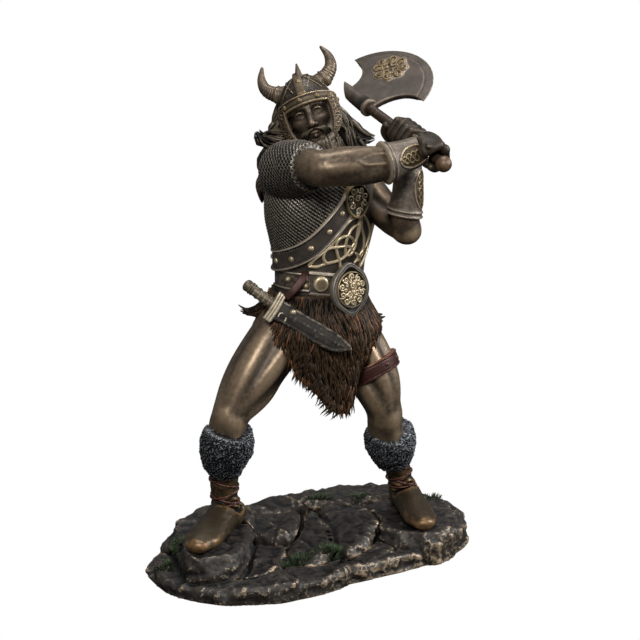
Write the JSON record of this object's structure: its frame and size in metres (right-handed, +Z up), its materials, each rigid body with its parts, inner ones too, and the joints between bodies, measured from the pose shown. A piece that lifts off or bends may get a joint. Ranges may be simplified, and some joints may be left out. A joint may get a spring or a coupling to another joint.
{
  "type": "viking warrior statuette",
  "caption": "Bronzed statuette of a bearded warrior in a horned helmet, mail and pelt kilt, who swings a two-handed axe over his shoulder, legs apart on an oval base of stacked rocks.",
  "frame": {"origin": "middle of the base's flat underside", "axes": "+Z up, +X along the base's long side towards the figure's left hand, -Y the way that the figure's body faces"},
  "size_m": [0.21, 0.1211, 0.3079],
  "materials": {
    "rock_bronze": "cold-cast bronze resin, dark brown patina with dry-brushed bronze edges",
    "figure_bronze": "cold-cast bronze resin, satin brown patina, hand-coloured fur, leather and hair",
    "axe_bronze": "cold-cast bronze resin, satin grey-brown metal look"
  },
  "bodies": {
    "root": {"rock_base": "rock_bronze", "figure": "figure_bronze", "axe": "axe_bronze"}
  },
  "joints": []
}
